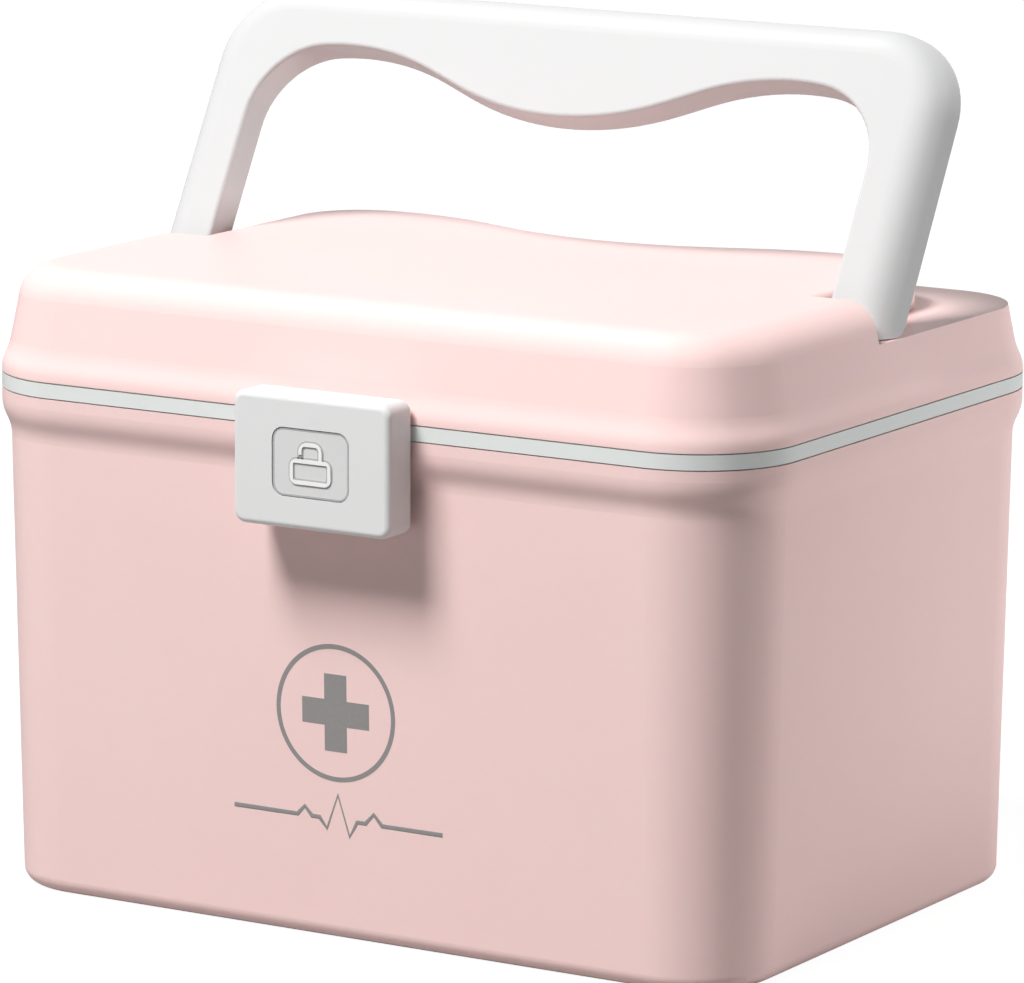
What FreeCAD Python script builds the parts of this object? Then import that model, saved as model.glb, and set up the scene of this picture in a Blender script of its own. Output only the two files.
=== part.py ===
import FreeCAD, Part
import math
import os
from FreeCAD import Vector

# A household first aid box: a tub with a flared rim, a hinged lid with a recess that takes the
# folding handle, a front latch and a lift-out tray. Millimetres, +Z up, front at -Y, right at +X.
# The origin is the middle of the footprint, on the ground. The box is shut and the handle is up.

# Outline at the rim
LENGTH = 260.0
DEPTH = 190.0
CORNER_RADIUS = 31.0

# Tub: wall, floor and the profile of its outside, as insets from the rim outline
WALL = 2.2
FLOOR = 2.6
TUB_HEIGHT = 147.9
BASE_INSET = 5.2
BASE_EDGE_RADIUS = 4.5
INNER_EDGE_RADIUS = 3.4
NECK_INSET = 2.7
NECK_BELOW_RIM = 13.9
FLARE_RISE = 11.0
LEDGE_BELOW_RIM = 6.9
RIM_WIDTH = 3.0
UPSTAND_HEIGHT = 2.6
UPSTAND_THICKNESS = 1.3

# White band between tub and lid
BAND_HEIGHT = 4.9
GROOVE_HEIGHT = 0.35
GROOVE_DEPTH = 0.8
SNAP_CLEARANCE = 0.1

# Lid: the profile of its outside
LID_HEIGHT = 31.2
LID_EDGE = 0.4
BULGE_RADIUS = 9.65
BULGE_TURN = 27.0
HOLLOW_RADIUS = 17.4
LID_DRAFT = 11.5
SHOULDER_RADIUS = 10.5
LOCATING_RIB_THICKNESS = 1.4
LOCATING_RIB_DROP = 3.6
LOCATING_RIB_GAP = 0.6
LOCATING_RIB_BACK = 55.0
LOCATING_RIB_ROOT = 0.3
OVERSHOOT = 1.0

# Handle and its recess in the lid
HANDLE_THICKNESS = 11.5
HANDLE_LEAN = 29.05
HANDLE_WALL = 2.2
HANDLE_COVER = 1.8
HANDLE_COVER_LAND = 1.8
HANDLE_HOLLOW = 7.4
HANDLE_EDGE_RADIUS = 1.2
LEG_INSET = 24.1
TOE_RADIUS = 1.0
PIVOT_Y = 2.65
PIVOT_DROP = 6.0
GRIP_DIP = 49.7
GRIP_DIP_RADIUS = 96.0
GRIP_FLANK_TURN = 22.0
GRIP_FLANK = 10.4
GRIP_ARCH_RADIUS = 81.0
GRIP_CORNER_RADIUS = 24.0
HANDLE_SIDE_GAP = 0.8
HANDLE_UNDER_GAP = 0.4
HANDLE_FRONT_GAP = 1.2
PLATEAU_EDGE_RADIUS = 3.0

# Handle pivot pins and their clips
PIVOT_PIN_DIAMETER = 4.0
PIVOT_PIN_IN_LEG = 9.0
PIVOT_SOLID_LEG = 6.0
PIVOT_PIN_BEHIND_CLIP = 1.6
PIVOT_CLIP_DIAMETER = 7.0
PIVOT_CLIP_THICKNESS = 1.0
PIVOT_CLIP_GAP = 0.3
RUNNING_CLEARANCE = 0.05

# Rear hinges
HINGE_SPACING = 140.0
HINGE_STANDOFF = 4.6
HINGE_DROP = 0.6
HINGE_BARREL_DIAMETER = 8.0
HINGE_EAR_WIDTH = 6.0
HINGE_KNUCKLE_WIDTH = 17.6
HINGE_END_GAP = 0.3
HINGE_PIN_DIAMETER = 3.0
HINGE_ARM_THICKNESS = 4.0
HINGE_ARM_RISE = 5.0
HINGE_BRIDGE_ROOT = 1.5

# Front latch
LATCH_WIDTH = 52.0
LATCH_HEIGHT = 38.0
LATCH_DEPTH = 12.0
LATCH_GAP = 1.0
LATCH_ABOVE_BAND = 7.2
LATCH_WALL = 1.6
LATCH_FRONT_WALL = 2.2
LATCH_CORNER_RADIUS = 3.5
LATCH_EDGE_RADIUS = 1.8
LATCH_REAR_RADIUS = 1.2
LATCH_PIN_DIAMETER = 2.4
LATCH_PIN_LENGTH = 40.0
LATCH_PIN_SETBACK = 5.5
LATCH_PIN_DROP = 4.5
LATCH_BARREL_DIAMETER = 5.2
LATCH_EAR_WIDTH = 3.0
LATCH_EAR_DIAMETER = 5.8
LATCH_EAR_BAR_DROP = 0.2
LATCH_EAR_BAR_HEIGHT = 2.2
LATCH_EAR_CLEARANCE = 0.3
LATCH_EAR_SKIN = 0.8
BRACKET_THICKNESS = 1.6
BRACKET_MARGIN = 3.0
BRACKET_LIFT = 1.8
LATCH_EAR_ROOT = 15.6
LATCH_BARREL_LENGTH = 26.0
CATCH_THICKNESS = 2.0
CATCH_NOSE_HEIGHT = 3.0
CATCH_NOSE_LENGTH = 26.0
CATCH_NOSE_LIFT = 2.5
CATCH_GAP = 0.3

# Badge in the latch, with its padlock sign
BADGE_WIDTH = 25.2
BADGE_HEIGHT = 19.2
BADGE_RADIUS = 3.5
BADGE_RECESS = 1.4
BADGE_SUNK = 0.25
BADGE_GAP = 0.25
SIGN_STROKE = 1.1
SIGN_RELIEF = 0.35
SIGN_BODY_WIDTH = 13.6
SIGN_BODY_HEIGHT = 7.2
SIGN_BOW_WIDTH = 7.8
SIGN_BOW_RISE = 4.8
SIGN_BOW_OPENING = 1.3

# Lift-out tray and its dividers
TRAY_DEPTH = 45.0
TRAY_WALL = 1.6
TRAY_FLANGE = 1.6
TRAY_CLEARANCE = 0.5
TRAY_EDGE_RADIUS = 4.0
DIVIDER_THICKNESS = 1.6
DIVIDER_HEIGHT = 34.0
DIVIDER_Y = -12.0
DIVIDER_SPACING = 92.0
DIVIDER_CLEARANCE = 0.2
DIVIDER_RIB = 1.6

# Heights and places that follow from the sizes above
HALF_LENGTH = LENGTH / 2
HALF_DEPTH = DEPTH / 2
NECK_HEIGHT = TUB_HEIGHT - NECK_BELOW_RIM
LEDGE_HEIGHT = TUB_HEIGHT - LEDGE_BELOW_RIM
LEG_INNER_X = HALF_LENGTH - LEG_INSET
REACH_X = HALF_LENGTH - CORNER_RADIUS
REACH_Y = HALF_DEPTH - CORNER_RADIUS
LID_BASE = TUB_HEIGHT + BAND_HEIGHT
LID_TOP = LID_BASE + LID_HEIGHT
UPSTAND_TOP = TUB_HEIGHT + UPSTAND_HEIGHT
RECESS_FLOOR = LID_TOP - HANDLE_THICKNESS - HANDLE_UNDER_GAP
PIVOT = Vector(0, PIVOT_Y, LID_TOP - PIVOT_DROP)
HEEL_RADIUS = HANDLE_THICKNESS - PIVOT_DROP
LEAN = math.radians(HANDLE_LEAN)
TOE_Y = PIVOT_Y - (HEEL_RADIUS + PIVOT_DROP * math.sin(LEAN)) / math.cos(LEAN)
SLOT_FRONT = TOE_Y - HANDLE_FRONT_GAP
PLATEAU_SIDE = LEG_INNER_X - HANDLE_SIDE_GAP
HINGE_Y = HALF_DEPTH + HINGE_STANDOFF
HINGE_Z = TUB_HEIGHT - HINGE_DROP
LATCH_BACK = -HALF_DEPTH - LATCH_GAP
LATCH_FRONT = LATCH_BACK - LATCH_DEPTH
LATCH_TOP = LID_BASE + LATCH_ABOVE_BAND
LATCH_MIDDLE = LATCH_TOP - LATCH_HEIGHT / 2
LATCH_PIN_Y = LATCH_FRONT + LATCH_PIN_SETBACK
LATCH_PIN_Z = LATCH_TOP - LATCH_PIN_DROP
WALL_LEAN = math.degrees(math.atan((BASE_INSET - NECK_INSET) / NECK_HEIGHT))
FLAT = Vector(0, 0, 1)
ALONG_X = Vector(1, 0, 0)


def step(point, heading, distance):
    """The point at a distance in the profile plane, where heading 0 is outward and 90 is up."""
    angle = math.radians(heading)
    return point + Vector(math.cos(angle), 0, math.sin(angle)) * distance


def trace(point, heading, moves):
    """Smooth edges from a start: each move is (length,) for a line or (radius, turn) for an arc."""
    edges = []
    for move in moves:
        if len(move) == 1:
            end = step(point, heading, move[0])
            edges.append(Part.LineSegment(point, end).toShape())
        else:
            radius, turn = move
            half = math.radians(abs(turn) / 2)
            end = step(point, heading + turn / 2, 2 * radius * math.sin(half))
            middle = step(point, heading + turn / 4, 2 * radius * math.sin(half / 2))
            edges.append(Part.Arc(point, middle, end).toShape())
            heading = heading + turn
        point = end
    return edges


def close_profile(edges, points):
    """A face from traced edges, closed by straight lines through more points (u, z)."""
    start = edges[0].Vertexes[0].Point
    corner = edges[-1].Vertexes[-1].Point
    lines = []
    for u, z in points:
        target = Vector(u, 0, z)
        lines.append(Part.LineSegment(corner, target).toShape())
        corner = target
    if corner.distanceToPoint(start) > 1e-6:
        lines.append(Part.LineSegment(corner, start).toShape())
    return Part.Face(Part.Wire(edges + lines))


def polygon_profile(points):
    """A straight-sided profile from (inset from the rim outline, z) points."""
    corners = [Vector(CORNER_RADIUS - inset, 0, z) for inset, z in points]
    return Part.Face(Part.makePolygon(corners + corners[:1]))


def around(profile, filled=True):
    """Carries a profile round the rim outline; its first axis runs outward from the corner centres."""
    pieces = []
    for quarter, signs in enumerate([(1, 1), (-1, 1), (-1, -1), (1, -1)]):
        centre = Vector(signs[0] * REACH_X, signs[1] * REACH_Y, 0)
        section = profile.copy()
        section.rotate(Vector(), FLAT, 90 * quarter)
        section.translate(centre)
        pieces.append(section.revolve(centre, FLAT, 90))
        run = 2 * REACH_Y if quarter % 2 == 0 else 2 * REACH_X
        angle = math.radians(90 * quarter)
        pieces.append(section.extrude(Vector(math.sin(angle), -math.cos(angle), 0) * run))
    if filled:
        box = profile.BoundBox
        pieces.append(block(-REACH_X, REACH_X, -REACH_Y, REACH_Y, box.ZMin, box.ZMax))
    return pieces[0].multiFuse(pieces[1:]).removeSplitter()


def block(x0, x1, y0, y1, z0, z1):
    return Part.makeBox(x1 - x0, y1 - y0, z1 - z0, Vector(x0, y0, z0))


def rod(diameter, x0, x1, y, z):
    """A round bar along X."""
    return Part.makeCylinder(diameter / 2, x1 - x0, Vector(x0, y, z), ALONG_X)


def mirrored(shape):
    return shape.mirror(Vector(), ALONG_X)


def one_solid(shape):
    solids = shape.Solids
    if len(solids) != 1:
        raise ValueError("expected one solid, found %d" % len(solids))
    return solids[0]


def wall_inset(z):
    """Inset of the tub's drafted outside at a height."""
    return BASE_INSET - (BASE_INSET - NECK_INSET) * z / NECK_HEIGHT


# Tub

def tub_outside():
    base_turn = 90 - WALL_LEAN
    wall_angle = math.radians(WALL_LEAN)
    flare_turn = 2 * math.degrees(math.atan(NECK_INSET / FLARE_RISE))
    flare_radius = (NECK_INSET ** 2 + FLARE_RISE ** 2) / (4 * NECK_INSET)
    edge_reach = BASE_EDGE_RADIUS * math.tan(math.radians(base_turn / 2))
    base_reach = CORNER_RADIUS - BASE_INSET - edge_reach
    wall_length = NECK_HEIGHT / math.cos(wall_angle) - edge_reach
    edges = trace(Vector(), 0, [
        (base_reach,), (BASE_EDGE_RADIUS, base_turn), (wall_length,),
        (flare_radius, WALL_LEAN - flare_turn), (flare_radius, flare_turn)])
    rim = CORNER_RADIUS - (RIM_WIDTH - UPSTAND_THICKNESS)
    lip = edges[-1].Vertexes[-1].Point.x
    return close_profile(edges, [(lip, TUB_HEIGHT), (rim, TUB_HEIGHT), (rim, UPSTAND_TOP), (0, UPSTAND_TOP)])


def tub_inside():
    base_turn = 90 - WALL_LEAN
    edge_reach = INNER_EDGE_RADIUS * math.tan(math.radians(base_turn / 2))
    base_reach = CORNER_RADIUS - wall_inset(FLOOR) - WALL - edge_reach
    wall_length = (LEDGE_HEIGHT - FLOOR) / math.cos(math.radians(WALL_LEAN)) - edge_reach
    edges = trace(Vector(0, 0, FLOOR), 0, [(base_reach,), (INNER_EDGE_RADIUS, base_turn), (wall_length,)])
    rim = CORNER_RADIUS - RIM_WIDTH
    top = UPSTAND_TOP + OVERSHOOT
    return close_profile(edges, [(rim, LEDGE_HEIGHT), (rim, top), (0, top)])


def hinge_ear(x0):
    """A barrel and its web, grown from the tub's rear rim just below the band."""
    radius = HINGE_BARREL_DIAMETER / 2
    barrel = rod(HINGE_BARREL_DIAMETER, x0, x0 + HINGE_EAR_WIDTH, HINGE_Y, HINGE_Z)
    root = HALF_DEPTH - RIM_WIDTH / 2
    web = block(x0, x0 + HINGE_EAR_WIDTH, root, HINGE_Y, HINGE_Z - radius, HINGE_Z)
    return barrel.fuse(web)


def hinge_ears(centre):
    outer = HINGE_KNUCKLE_WIDTH / 2 + HINGE_END_GAP
    return [hinge_ear(centre - outer - HINGE_EAR_WIDTH), hinge_ear(centre + outer)]


def box_shell():
    shell = around(tub_outside()).cut(around(tub_inside()))
    ears = hinge_ears(-HINGE_SPACING / 2) + hinge_ears(HINGE_SPACING / 2)
    shell = shell.multiFuse(ears)
    bore = rod(HINGE_PIN_DIAMETER, -HALF_LENGTH, HALF_LENGTH, HINGE_Y, HINGE_Z)
    return one_solid(shell.cut(bore).removeSplitter())


def rim_band():
    """The white ring on the tub's rim, with a shadow groove above and below it."""
    leg = RIM_WIDTH - UPSTAND_THICKNESS - SNAP_CLEARANCE
    section = polygon_profile([
        (0, TUB_HEIGHT + GROOVE_HEIGHT), (GROOVE_DEPTH, TUB_HEIGHT + GROOVE_HEIGHT),
        (GROOVE_DEPTH, TUB_HEIGHT), (leg, TUB_HEIGHT), (leg, UPSTAND_TOP), (RIM_WIDTH, UPSTAND_TOP),
        (RIM_WIDTH, LID_BASE), (GROOVE_DEPTH, LID_BASE), (GROOVE_DEPTH, LID_BASE - GROOVE_HEIGHT),
        (0, LID_BASE - GROOVE_HEIGHT)])
    return one_solid(around(section, filled=False))


def hinge_pin(side):
    half = HINGE_KNUCKLE_WIDTH / 2 + HINGE_END_GAP + HINGE_EAR_WIDTH
    centre = side * HINGE_SPACING / 2
    return rod(HINGE_PIN_DIAMETER, centre - half, centre + half, HINGE_Y, HINGE_Z)


# Lid and handle

def lid_profile(offset):
    """The lid's outside, or with an offset the inside of its wall."""
    bulge = math.radians(BULGE_TURN)
    draft = math.radians(LID_DRAFT)
    curved = BULGE_RADIUS * math.sin(bulge) + HOLLOW_RADIUS * (math.sin(bulge) - math.sin(draft))
    shoulder = SHOULDER_RADIUS * (1 - math.sin(draft))
    wall_length = (LID_HEIGHT - LID_EDGE - curved - shoulder) / math.cos(draft)
    edges = trace(Vector(CORNER_RADIUS - offset, 0, LID_BASE), 90, [
        (LID_EDGE,), (BULGE_RADIUS - offset, BULGE_TURN), (HOLLOW_RADIUS + offset, LID_DRAFT - BULGE_TURN),
        (wall_length,), (SHOULDER_RADIUS - offset, 90 - LID_DRAFT)])
    return close_profile(edges, [(0, LID_TOP - offset), (0, LID_BASE)])


def grip_curve(inward):
    """Edges of the handle's inner outline in the lid's plan, from the left leg over the grip to the right.

    The curve dips at the middle of the grip and arches over the fingers at both sides.
    A positive value moves it inward, towards the pivot, by that much.
    """
    flank = math.radians(GRIP_FLANK_TURN)
    dip_radius = GRIP_DIP_RADIUS + inward
    arch_radius = GRIP_ARCH_RADIUS - inward
    corner_radius = GRIP_CORNER_RADIUS - inward
    dip_centre = PIVOT_Y + GRIP_DIP + GRIP_DIP_RADIUS
    both_radii = GRIP_DIP_RADIUS + GRIP_ARCH_RADIUS
    arch_x = both_radii * math.sin(flank) + GRIP_FLANK * math.cos(flank)
    arch_centre = dip_centre - both_radii * math.cos(flank) + GRIP_FLANK * math.sin(flank)
    corner_x = LEG_INNER_X - GRIP_CORNER_RADIUS
    between = GRIP_ARCH_RADIUS - GRIP_CORNER_RADIUS
    corner_angle = math.asin((corner_x - arch_x) / between)
    corner_y = arch_centre + between * math.cos(corner_angle)

    def on(x, y, radius, angle):
        return Vector(x + radius * math.sin(angle), y + radius * math.cos(angle), 0)

    dip_middle = Vector(0, dip_centre - dip_radius, 0)
    dip_end = Vector(dip_radius * math.sin(flank), dip_centre - dip_radius * math.cos(flank), 0)
    arch_start = on(arch_x, arch_centre, arch_radius, -flank)
    arch_middle = on(arch_x, arch_centre, arch_radius, (corner_angle - flank) / 2)
    arch_end = on(arch_x, arch_centre, arch_radius, corner_angle)
    corner_middle = on(corner_x, corner_y, corner_radius, (corner_angle + math.pi / 2) / 2)
    corner_end = on(corner_x, corner_y, corner_radius, math.pi / 2)
    right = [
        Part.LineSegment(dip_end, arch_start).toShape(),
        Part.Arc(arch_start, arch_middle, arch_end).toShape(),
        Part.Arc(arch_end, corner_middle, corner_end).toShape()]
    dip = Part.Arc(Vector(-dip_end.x, dip_end.y, 0), dip_middle, dip_end).toShape()
    return [mirrored(edge) for edge in right] + [dip] + right


def grip_prism(inward, front, z0, z1, edge_radius=0):
    """The region inside the handle's inner outline, from a front line back to the grip."""
    edges = grip_curve(inward)
    side = LEG_INNER_X - inward
    rear = edges[-1].BoundBox.YMin
    corners = [Vector(side, rear, 0), Vector(side, front, 0), Vector(-side, front, 0), Vector(-side, rear, 0)]
    lines = [Part.LineSegment(a, b).toShape() for a, b in zip(corners, corners[1:])]
    outline = Part.Wire(Part.__sortEdges__(edges + lines))
    outline.translate(Vector(0, 0, z0))
    prism = Part.Face(outline).extrude(Vector(0, 0, z1 - z0))
    if edge_radius > 0:
        rim = [e for e in prism.Edges if e.BoundBox.ZMin > z1 - 0.01 and e.BoundBox.YMax > front + 0.01]
        prism = prism.makeFillet(edge_radius, rim)
    return prism


def recess_tool(wall):
    """What the folding handle needs cut from the lid; with a wall, that space grown by the wall."""
    front = SLOT_FRONT - wall
    space = block(-LENGTH, LENGTH, front, DEPTH, RECESS_FLOOR - wall, LID_TOP + WALL)
    radius = PLATEAU_EDGE_RADIUS if wall == 0 else 0
    top = LID_TOP if wall == 0 else LID_TOP + WALL
    plateau = grip_prism(HANDLE_SIDE_GAP + wall, -HALF_DEPTH, LID_BASE, top, radius)
    return space.cut(plateau)


def locating_rib():
    """A rib under the lid's front and sides that drops inside the band."""
    inset = RIM_WIDTH + LOCATING_RIB_GAP
    low = LID_BASE - LOCATING_RIB_DROP
    root = LID_BASE + LOCATING_RIB_ROOT
    high = LID_BASE + LOCATING_RIB_THICKNESS
    ring = around(polygon_profile([
        (inset, low), (inset, root), (WALL / 2, root), (WALL / 2, high),
        (inset + LOCATING_RIB_THICKNESS, high), (inset + LOCATING_RIB_THICKNESS, low)]), filled=False)
    return ring.common(block(-LENGTH, LENGTH, -DEPTH, LOCATING_RIB_BACK, low, high))


def hinge_arm(centre):
    """The lid's knuckle: a barrel between the tub's ears, an arm past the band and a bridge to the wall."""
    x0 = centre - HINGE_KNUCKLE_WIDTH / 2
    x1 = centre + HINGE_KNUCKLE_WIDTH / 2
    outer = HINGE_Y + HINGE_BARREL_DIAMETER / 2
    bridge_low = LID_BASE + LID_EDGE
    bridge_high = bridge_low + HINGE_ARM_RISE
    barrel = rod(HINGE_BARREL_DIAMETER, x0, x1, HINGE_Y, HINGE_Z)
    arm = block(x0, x1, outer - HINGE_ARM_THICKNESS, outer, HINGE_Z, bridge_high)
    bridge = block(x0, x1, HALF_DEPTH - HINGE_BRIDGE_ROOT, outer, bridge_low, bridge_high)
    return barrel.multiFuse([arm, bridge])


def lid_outside():
    return around(lid_profile(0))


def lid_shell(outside):
    cavity = around(lid_profile(WALL)).cut(recess_tool(WALL))
    additions = [locating_rib(), hinge_arm(-HINGE_SPACING / 2), hinge_arm(HINGE_SPACING / 2)]
    shell = outside.cut([recess_tool(0), cavity]).multiFuse(additions)
    hinge_bore = rod(HINGE_PIN_DIAMETER + 2 * RUNNING_CLEARANCE, -HALF_LENGTH, HALF_LENGTH, HINGE_Y, HINGE_Z)
    handle_bore = rod(PIVOT_PIN_DIAMETER + 2 * RUNNING_CLEARANCE, -LEG_INNER_X, LEG_INNER_X, PIVOT.y, PIVOT.z)
    notches = [latch_ear_bar(side, SNAP_CLEARANCE) for side in (-1, 1)]
    return one_solid(shell.cut(notches + [hinge_bore, handle_bore]).removeSplitter())


def side_outline():
    """The folded handle from its side: flat faces, and a slanted foot that stands flat when it is up.

    The heel is round about the pivot, so it turns just above the floor of the recess.
    """
    low = LID_TOP - HANDLE_THICKNESS
    toe = Vector(0, TOE_Y, LID_TOP)
    slant = Vector(0, PIVOT_Y - HEEL_RADIUS * math.cos(LEAN), PIVOT.z - HEEL_RADIUS * math.sin(LEAN))
    half = (math.pi / 2 - LEAN) / 2
    heel = Vector(0, PIVOT_Y - HEEL_RADIUS * math.sin(half), PIVOT.z - HEEL_RADIUS * math.cos(half))
    under = Vector(0, PIVOT_Y, low)
    rear_low = Vector(0, DEPTH, low)
    rear_top = Vector(0, DEPTH, LID_TOP)
    edges = [Part.LineSegment(toe, slant).toShape(), Part.Arc(slant, heel, under).toShape()]
    edges += Part.makePolygon([under, rear_low, rear_top, toe]).Edges
    return Part.Face(Part.Wire(edges))


def raise_handle(shape):
    """Turns a folded handle piece up to the pose in which it stands."""
    raised = shape.copy()
    raised.rotate(PIVOT, ALONG_X, 90 - HANDLE_LEAN)
    return raised


def handle_outside(outside):
    """The folded handle fills the recess and carries on the lid's outer shape."""
    slab = side_outline().extrude(Vector(LENGTH, 0, 0))
    slab.translate(Vector(-HALF_LENGTH, 0, 0))
    toe = slab.BoundBox.YMin + 0.01
    foot = [edge for edge in slab.Edges if edge.BoundBox.YMax < toe]
    slab = slab.makeFillet(TOE_RADIUS, foot)
    gap = grip_prism(0, -HALF_DEPTH, LID_BASE, LID_TOP + WALL)
    return outside.common(slab).cut(gap)


def on_inner_outline(edge):
    """True where an edge of the folded handle lies level, on the inner outline of the grip and legs."""
    middle = edge.valueAt((edge.FirstParameter + edge.LastParameter) / 2)
    if edge.BoundBox.ZLength > 0.01:
        return False
    if abs(abs(middle.x) - LEG_INNER_X) < 0.01:
        return True
    return Part.Wire(grip_curve(0)).distToShape(Part.Vertex(Vector(middle.x, middle.y, 0)))[0] < 0.01


def softened(handle):
    """Rounds the inner edges of the grip and legs."""
    return handle.makeFillet(HANDLE_EDGE_RADIUS, [edge for edge in handle.Edges if on_inner_outline(edge)])


def handle_core(inset, z0, z1):
    """The plan of the folded handle's back, drawn in from its edges, between two heights.

    The legs stay solid round their pivot pins.
    """
    edge = lid_inset_at(LID_TOP - HANDLE_THICKNESS) + inset
    plan = around(polygon_profile([(edge, z0), (edge, z1), (CORNER_RADIUS, z1), (CORNER_RADIUS, z0)]))
    solid_leg = PIVOT_Y + PIVOT_SOLID_LEG + inset
    gap = grip_prism(-inset, -HALF_DEPTH, LID_BASE, LID_TOP + WALL)
    return plan.common(block(-LENGTH, LENGTH, solid_leg, DEPTH, z0, z1)).cut(gap)


def lid_inset_at(z):
    """Inset of the lid's drafted outside at a height below the shoulder."""
    bulge = math.radians(BULGE_TURN)
    draft = math.radians(LID_DRAFT)
    curved = BULGE_RADIUS * math.sin(bulge) + HOLLOW_RADIUS * (math.sin(bulge) - math.sin(draft))
    start = BULGE_RADIUS * (1 - math.cos(bulge)) + HOLLOW_RADIUS * (math.cos(draft) - math.cos(bulge))
    return start + (z - LID_BASE - LID_EDGE - curved) * math.tan(draft)


def handle_shell(outside):
    low = LID_TOP - HANDLE_THICKNESS
    body = softened(handle_outside(outside))
    seat = handle_core(HANDLE_WALL, low - OVERSHOOT, low + HANDLE_COVER)
    hollow = handle_core(HANDLE_WALL + HANDLE_COVER_LAND, low - OVERSHOOT, low + HANDLE_HOLLOW)
    pin = PIVOT_PIN_DIAMETER
    bores = rod(pin, -LEG_INNER_X - PIVOT_PIN_IN_LEG, LEG_INNER_X + PIVOT_PIN_IN_LEG, PIVOT.y, PIVOT.z)
    return one_solid(body.cut([seat, hollow, bores]).removeSplitter())


def handle_back_cover():
    low = LID_TOP - HANDLE_THICKNESS
    return one_solid(handle_core(HANDLE_WALL + SNAP_CLEARANCE, low, low + HANDLE_COVER))


def clip_place():
    """Where the clip's outer face lies along X, inside the lid's inner wall."""
    return PLATEAU_SIDE - WALL - PIVOT_CLIP_GAP


def handle_pin():
    """The right pivot pin: pressed in the leg, it turns in the lid and ends behind its clip."""
    start = clip_place() - PIVOT_CLIP_THICKNESS - PIVOT_PIN_BEHIND_CLIP
    return rod(PIVOT_PIN_DIAMETER, start, LEG_INNER_X + PIVOT_PIN_IN_LEG, PIVOT.y, PIVOT.z)


def handle_clip():
    """The right ring clip on the pin's inner end."""
    outer = clip_place()
    disc = rod(PIVOT_CLIP_DIAMETER, outer - PIVOT_CLIP_THICKNESS, outer, PIVOT.y, PIVOT.z)
    return disc.cut(rod(PIVOT_PIN_DIAMETER, outer - PIVOT_CLIP_THICKNESS, outer, PIVOT.y, PIVOT.z))


# Latch

def latch_ear_bar(side, grown):
    """The bar of an ear, from below the latch pin back through the lid's edge, or its notch when grown."""
    inner = LATCH_BARREL_LENGTH / 2 + LATCH_EAR_CLEARANCE
    x0, x1 = sorted((side * inner, side * (inner + LATCH_EAR_WIDTH)))
    rear = -HALF_DEPTH + LATCH_EAR_ROOT
    high = LATCH_PIN_Z - LATCH_EAR_BAR_DROP
    low = high - LATCH_EAR_BAR_HEIGHT if grown == 0 else LID_BASE - OVERSHOOT
    return block(x0 - grown, x1 + grown, LATCH_PIN_Y, rear, low, high + grown)


def latch_bracket():
    """A plate behind the lid's front wall, with two ears that reach through it to the latch pin."""
    inner = LATCH_BARREL_LENGTH / 2 + LATCH_EAR_CLEARANCE
    half = inner + LATCH_EAR_WIDTH + BRACKET_MARGIN
    behind = around(lid_profile(WALL))
    space = around(lid_profile(WALL + BRACKET_THICKNESS))
    window = block(-half, half, -DEPTH, 0, LID_BASE + BRACKET_LIFT, LATCH_TOP)
    plate = behind.cut(space).common(window)
    ears = []
    for side in (-1, 1):
        x0, x1 = sorted((side * inner, side * (inner + LATCH_EAR_WIDTH)))
        ears.append(rod(LATCH_EAR_DIAMETER, x0, x1, LATCH_PIN_Y, LATCH_PIN_Z))
        ears.append(latch_ear_bar(side, 0).cut(space))
    bore = rod(LATCH_PIN_DIAMETER, -half, half, LATCH_PIN_Y, LATCH_PIN_Z)
    return one_solid(plate.multiFuse(ears).cut(bore).removeSplitter())


def latch_ear_pocket(side):
    """The pocket under the latch's top that clears an ear while the latch turns."""
    inner = LATCH_BARREL_LENGTH / 2
    x0, x1 = sorted((side * inner, side * (inner + LATCH_EAR_WIDTH + 2 * LATCH_EAR_CLEARANCE)))
    reach = LATCH_EAR_DIAMETER / 2 + LATCH_EAR_CLEARANCE
    rise = LATCH_PIN_DROP - LATCH_WALL
    run = math.sqrt(reach ** 2 - rise ** 2)
    return block(x0, x1, LATCH_PIN_Y - run, LATCH_BACK + OVERSHOOT, LATCH_PIN_Z, LATCH_TOP - LATCH_EAR_SKIN)


def rounded_plate(width, height, radius, y0, y1, middle):
    """A plate across the front with rounded corners, between two depths."""
    plate = block(-width / 2, width / 2, y0, y1, middle - height / 2, middle + height / 2)
    upright = [e for e in plate.Edges if e.BoundBox.YLength > (y1 - y0) / 2]
    return plate.makeFillet(radius, upright)


def latch_cover():
    """The white block: a moulded cover, open at the back, with a seat for the badge."""
    shell = rounded_plate(
        LATCH_WIDTH, LATCH_HEIGHT, LATCH_CORNER_RADIUS, LATCH_FRONT, LATCH_BACK, LATCH_MIDDLE)
    front = [e for e in shell.Edges if e.BoundBox.YMax < LATCH_FRONT + 0.01]
    shell = shell.makeFillet(LATCH_EDGE_RADIUS, front)
    top = [edge for edge in shell.Edges if edge.BoundBox.ZMin > LATCH_TOP - 0.01]
    rear = [edge for edge in top if edge.BoundBox.YMin > LATCH_BACK - 0.01]
    shell = shell.makeFillet(LATCH_REAR_RADIUS, rear)
    inner_radius = LATCH_CORNER_RADIUS - LATCH_WALL / 2
    hollow = rounded_plate(
        LATCH_WIDTH - 2 * LATCH_WALL, LATCH_HEIGHT - 2 * LATCH_WALL, inner_radius,
        LATCH_FRONT + LATCH_FRONT_WALL, LATCH_BACK + OVERSHOOT, LATCH_MIDDLE)
    seat = rounded_plate(
        BADGE_WIDTH + 2 * BADGE_GAP, BADGE_HEIGHT + 2 * BADGE_GAP, BADGE_RADIUS + BADGE_GAP,
        LATCH_FRONT - OVERSHOOT, LATCH_FRONT + BADGE_RECESS, LATCH_MIDDLE)
    return one_solid(shell.cut([hollow, seat, latch_ear_pocket(-1), latch_ear_pocket(1)]))


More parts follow.
